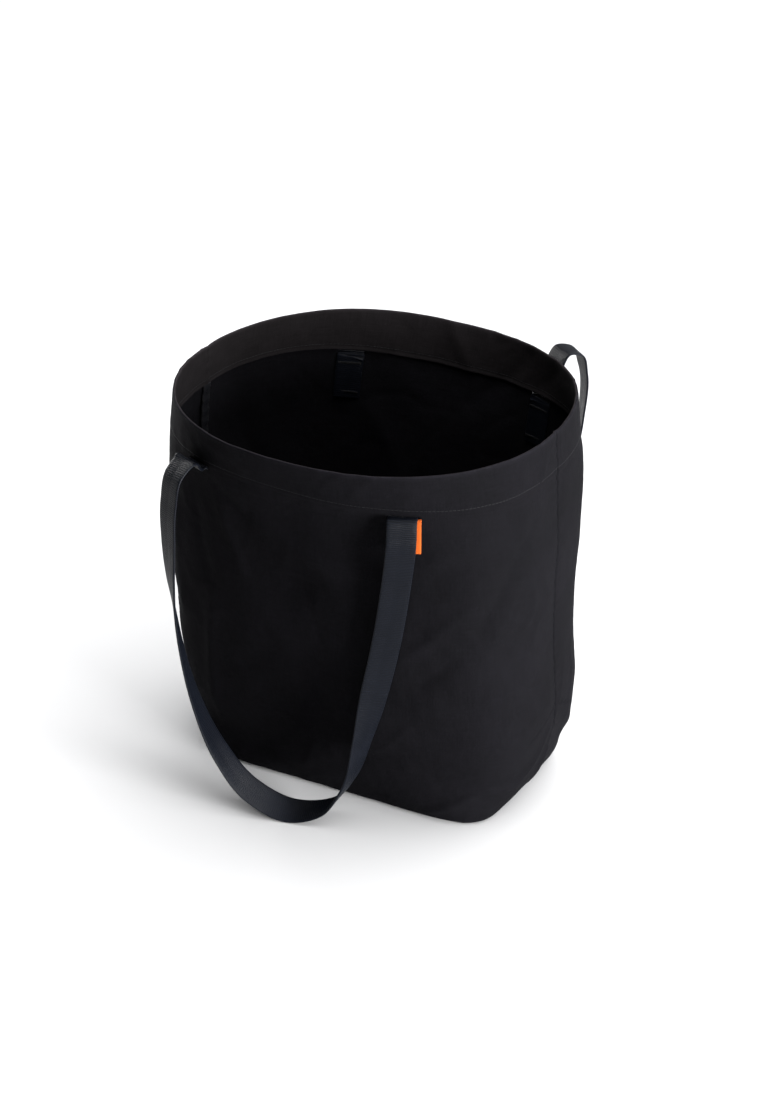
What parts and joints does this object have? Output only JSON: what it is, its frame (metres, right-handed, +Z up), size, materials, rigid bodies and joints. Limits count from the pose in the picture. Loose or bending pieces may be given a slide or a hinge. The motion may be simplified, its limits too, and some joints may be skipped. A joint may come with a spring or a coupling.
{
  "type": "foldable tote bag",
  "caption": "Tall canvas tote bag with boxed bottom corners, a stitched rim band and two long webbing handles; it folds flat.",
  "frame": {"origin": "centre of the base, on the surface that the bag stands on", "axes": "+X along the front face to the right, -Y to the front, +Z up"},
  "size_m": [0.3646, 0.3546, 0.371],
  "materials": {
    "canvas": "matt plain-weave cotton canvas, near-black",
    "facing_canvas": "the same canvas turned in round the mouth",
    "webbing": "dark navy ribbed webbing with a slight sheen",
    "seam_tape": "thin black binding tape",
    "thread": "black sewing thread",
    "tag_fabric": "plain orange ribbon, no marks"
  },
  "bodies": {
    "shell": {"back_panel": "canvas", "front_panel_left_wing": "canvas", "front_panel_right_wing": "canvas", "back_panel_left_wing": "canvas", "back_panel_right_wing": "canvas", "back_facing": "facing_canvas", "left_facing": "facing_canvas", "right_facing": "facing_canvas", "left_seam_tape": "seam_tape", "right_seam_tape": "seam_tape", "left_corner_tape": "seam_tape", "right_corner_tape": "seam_tape", "back_handle_left_tail": "webbing", "back_handle_right_tail": "webbing", "back_bartacks": "thread"},
    "base_back_half": {"base_rear": "canvas", "base_seam_tape": "seam_tape"},
    "base_front_half": {"base_front": "canvas"},
    "front_foot": {"front_panel_lower": "canvas"},
    "front_face": {"front_panel_upper": "canvas", "front_facing": "facing_canvas", "front_handle_left_tail": "webbing", "front_handle_right_tail": "webbing", "front_bartacks": "thread", "tag_loop": "tag_fabric"},
    "front_loop": {"front_handle": "webbing"},
    "back_loop": {"back_handle": "webbing"}
  },
  "joints": [
    {"name": "fold", "type": "hinge", "parent": "shell", "child": "base_back_half", "pos_m": [0, 0.0833, 0.0012], "axis": [-1, 0, 0], "range_deg": [0, 89], "deforming": ["front_panel_left_wing", "front_panel_right_wing", "back_panel_left_wing", "back_panel_right_wing", "left_facing", "right_facing", "left_seam_tape", "right_seam_tape", "left_corner_tape", "right_corner_tape"]},
    {"name": "base_crease", "type": "hinge", "parent": "base_back_half", "child": "base_front_half", "pos_m": [0, 0, -0.0005], "axis": [1, 0, 0], "range_deg": [0, 178]},
    {"name": "foot_crease", "type": "hinge", "parent": "base_front_half", "child": "front_foot", "pos_m": [0, -0.0833, 0.0012], "axis": [-1, 0, 0], "range_deg": [0, 89]},
    {"name": "front_crease", "type": "hinge", "parent": "front_foot", "child": "front_face", "pos_m": [0, -0.102, 0.1], "axis": [-1, 0, 0], "range_deg": [0, 16.91]},
    {"name": "front_handle_swing", "type": "hinge", "parent": "front_face", "child": "front_loop", "pos_m": [0, -0.14073, 0.33], "axis": [-1, 0, 0], "range_deg": [0, 158]},
    {"name": "back_handle_swing", "type": "hinge", "parent": "shell", "child": "back_loop", "pos_m": [0, 0.14073, 0.33], "axis": [1, 0, 0], "range_deg": [0, 158]}
  ],
  "couplings": [
    {"joint": "base_crease", "follows": "fold", "ratio": 2},
    {"joint": "foot_crease", "follows": "fold", "ratio": 1},
    {"joint": "front_crease", "follows": "fold", "ratio": 0.19}
  ]
}
